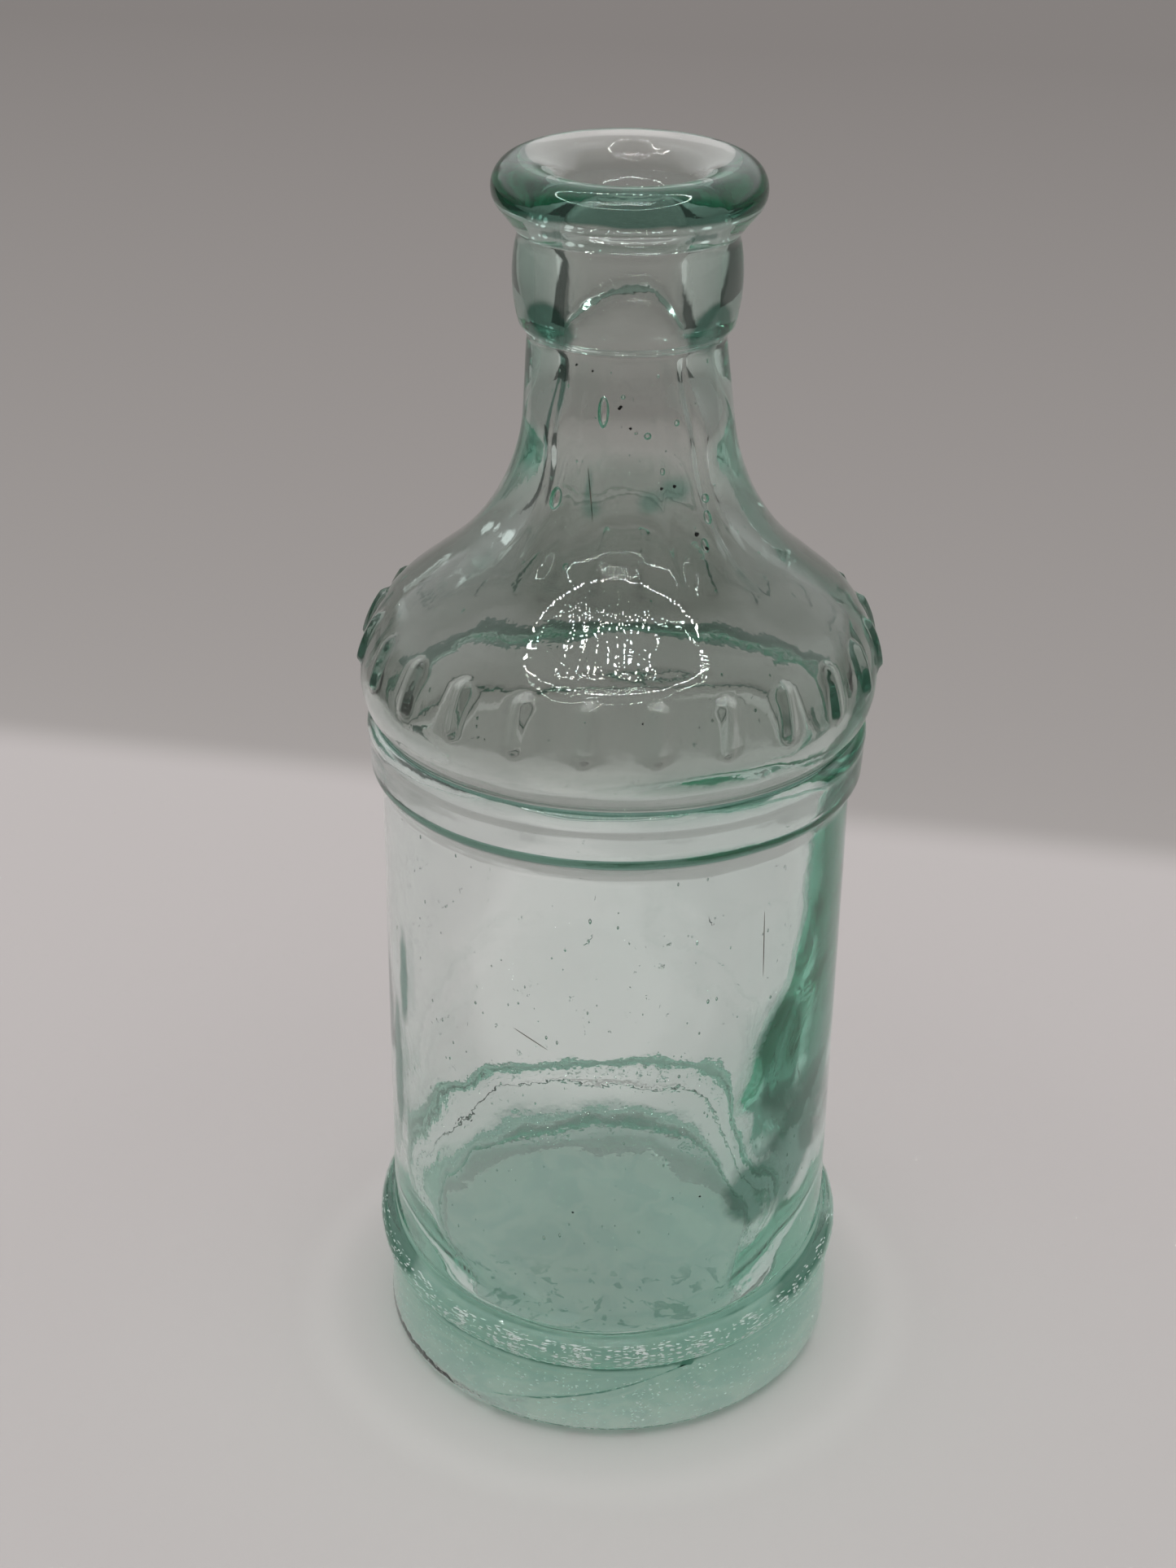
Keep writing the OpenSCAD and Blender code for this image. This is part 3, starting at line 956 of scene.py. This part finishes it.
def floorMaterial(s):
    mat, nodes, links, shader = newMaterial("paleFloor", 1.0, 0.0)
    place = nodes.new("ShaderNodeTexCoord").outputs["Object"]
    turned = mappingNode(nodes, links, place, "POINT", {"Rotation": (0, 0, -math.radians(s["edgeSlant"]))})
    split = splitNode(nodes, links, turned)
    depth = split["Y"]
    back = placeRamp(nodes, links, depth, (s["edgeY"] - s["edgeSoft"], s["edgeY"] + s["edgeSoft"]))
    away = rampNode(nodes, links, depth, s["edgeY"] * mm, s["farY"] * mm, smooth=False)
    far = mixNode(nodes, links, mathNode(nodes, links, "POWER", away, 0.5), s["nearColour"], s["farColour"])
    sheet = mixNode(nodes, links, back, s["sheetColour"], far)
    front = placeRamp(nodes, links, depth, (s["frontY"] - s["frontSoft"], s["frontY"] + s["frontSoft"]))
    near = mixNode(nodes, links, front, s["frontColour"], sheet)
    aside = mathNode(nodes, links, "ABSOLUTE", split["X"])
    widened = mathNode(nodes, links, "SUBTRACT", aside, mathNode(nodes, links, "MAXIMUM", depth, 0.0))
    side = placeRamp(nodes, links, widened, (s["sideX"] + s["sideSoft"], s["sideX"] - s["sideSoft"]))
    plain = mixNode(nodes, links, side, s["frontColour"], near)
    # painted light: the sheet's colour is lifted under the bottle and round it, where the glass gathers light
    reach = reachNode(nodes, links, place)
    nearby = placeRamp(nodes, links, reach, (s["glowReach"], s["glowRadius"]))
    under = placeRamp(nodes, links, reach, s["underLightEdge"])
    x, y, halfX, halfY, even, more = s["streak"]
    oval = reachNode(nodes, links, mappingNode(nodes, links, place, "TEXTURE", {
        "Location": (x * mm, y * mm, 0), "Scale": (halfX * mm, halfY * mm, 1)}))
    streak = rampNode(nodes, links, oval, 1.0, even)
    middle, half, bright = s["lightRing"]
    offRing = mathNode(nodes, links, "ABSOLUTE", mathNode(nodes, links, "SUBTRACT", reach, middle * mm))
    ring = mathNode(nodes, links, "MULTIPLY", rampNode(nodes, links, offRing, half * mm, 0.0), bright)
    lift = mathNode(nodes, links, "ADD", mathNode(nodes, links, "MULTIPLY", nearby, s["glowRound"] - 1),
                    mathNode(nodes, links, "ADD", mathNode(nodes, links, "MULTIPLY", streak, more), ring))
    # the painted tint of the sheet under the bottle
    underLightColour = tuple(a * b / s["glowRound"] for a, b in zip(s["sheetColour"], s["underLightTone"]))
    gain = nodes.new("ShaderNodeVectorMath")
    gain.operation = "SCALE"
    links.new(mixNode(nodes, links, under, plain, underLightColour), gain.inputs[0])
    links.new(mathNode(nodes, links, "ADD", lift, 1.0), gain.inputs["Scale"])
    links.new(gain.outputs["Vector"], shader.inputs["Base Color"])
    return mat


def makeFloor(s):
    bm = bmesh.new()
    bmesh.ops.create_circle(bm, cap_ends=True, segments=96, radius=s["floorRadius"] * mm,
                            matrix=Matrix.Translation((0, 0, -s["floorGap"] * mm)))
    floor = newPiece("floor", bm)
    floor.data.materials.append(floorMaterial(s))


def makeWorld(s):
    # a soft glow that is strongest overhead lights the floor; the glass sees a grey room, darker in front
    world = bpy.data.worlds.new("studio")
    scene.world = world
    world.use_nodes = True
    nodes, links = world.node_tree.nodes, world.node_tree.links
    nodes.clear()
    sight = nodes.new("ShaderNodeTexCoord").outputs["Generated"]
    split = splitNode(nodes, links, sight)
    path = nodes.new("ShaderNodeLightPath")
    lit = mathNode(nodes, links, "GREATER_THAN", path.outputs["Diffuse Depth"], 0.5)
    overhead = rampNode(nodes, links, split["Z"], *s["lightRise"])
    light = mixNode(nodes, links, overhead, (s["lightLow"],) * 3, (s["lightHigh"],) * 3)
    front = rampNode(nodes, links, split["Y"], *s["frontEdge"])
    room = mixNode(nodes, links, front, s["frontAir"], s["airColour"])
    high = rampNode(nodes, links, split["Z"], *s["backGlowHigh"])
    behind = rampNode(nodes, links, split["Y"], *s["backGlowEdge"])
    bent = mathNode(nodes, links, "MULTIPLY", path.outputs["Is Transmission Ray"], 1 - s["glowBent"])
    glowing = mathNode(nodes, links, "MULTIPLY", mathNode(nodes, links, "MULTIPLY", high, behind),
                       mathNode(nodes, links, "SUBTRACT", 1.0, bent))
    room = mixNode(nodes, links, glowing, room, s["backGlow"])
    unseen = mathNode(nodes, links, "SUBTRACT", 1.0, path.outputs["Is Camera Ray"])
    for turn, lift, half in s["farLamps"]:
        turn, lift = math.radians(turn), math.radians(lift)
        toLamp = nodes.new("ShaderNodeVectorMath")
        toLamp.operation = "DOT_PRODUCT"
        toLamp.inputs[1].default_value = (math.cos(turn) * math.cos(lift), math.sin(turn) * math.cos(lift),
                                          math.sin(lift))
        links.new(sight, toLamp.inputs[0])
        edge = (math.cos(math.radians(half * share)) for share in s["lampSoft"])
        spot = rampNode(nodes, links, toLamp.outputs["Value"], *edge)
        room = mixNode(nodes, links, mathNode(nodes, links, "MULTIPLY", spot, unseen), room, s["lampGlow"])
    back = nodes.new("ShaderNodeBackground")
    links.new(mixNode(nodes, links, lit, room, light), back.inputs["Color"])
    out = nodes.new("ShaderNodeOutputWorld")
    links.new(back.outputs["Background"], out.inputs["Surface"])


lampDots = {
    "seed": 5,
    "ringMid": (-14.0, -46.0, 302.0),
    "ringRadius": 110.0,
    "ringStep": 7.6,
    "ringDot": 1.7,
    "panelMid": (-20.0, -66.0, 302.0),
    "panelSize": (130.0, 40.0),
    "panelStep": 7.4,
    "panelSpread": 3.0,
    "panelDot": 1.05,
    "strength": 110.0,
    "warmColour": (1.0, 0.70, 0.45),
    "coolColour": (0.50, 0.80, 1.0),
    "hueSize": 3.0,
}


def makeLampDots(d):
    # small lamps above the camera that only the glass mirrors or bends
    rng = random.Random(d["seed"])
    spots = []
    mid = Vector(d["ringMid"])
    around = int(2 * math.pi * d["ringRadius"] / d["ringStep"])
    for i in range(around):
        a = 2 * math.pi * i / around
        spots.append((*(mid + d["ringRadius"] * Vector((math.cos(a), math.sin(a), 0))), d["ringDot"]))
    across, along = (int(size / d["panelStep"]) + 1 for size in d["panelSize"])
    for i in range(across):
        for j in range(along):
            x = d["panelMid"][0] + i * d["panelStep"] - d["panelSize"][0] / 2
            y = d["panelMid"][1] + j * d["panelStep"] - d["panelSize"][1] / 2
            spots.append((x + rng.uniform(-1, 1) * d["panelSpread"], y + rng.uniform(-1, 1) * d["panelSpread"],
                          d["panelMid"][2], d["panelDot"]))
    bm = bmesh.new()
    for *place, radius in spots:
        bmesh.ops.create_icosphere(bm, subdivisions=1, radius=radius * mm,
                                   matrix=Matrix.Translation(Vector(place) * mm))
    dots = newPiece("lampDots", bm)
    mat, nodes, links, shader = newMaterial("lampGlow", 0.5)
    shader.inputs["Base Color"].default_value = (0, 0, 0, 1)
    tone = noiseNode(nodes, links, nodes.new("ShaderNodeTexCoord").outputs["Object"], d["hueSize"])
    links.new(mixNode(nodes, links, tone, d["warmColour"], d["coolColour"]), shader.inputs["Emission Color"])
    shader.inputs["Emission Strength"].default_value = d["strength"]
    mat.cycles.emission_sampling = "NONE"
    dots.data.materials.append(mat)
    dots.visible_camera = dots.visible_diffuse = dots.visible_shadow = False


makeFloor(stageLook)
makeWorld(stageLook)
makeLampDots(lampDots)
print("stage made")
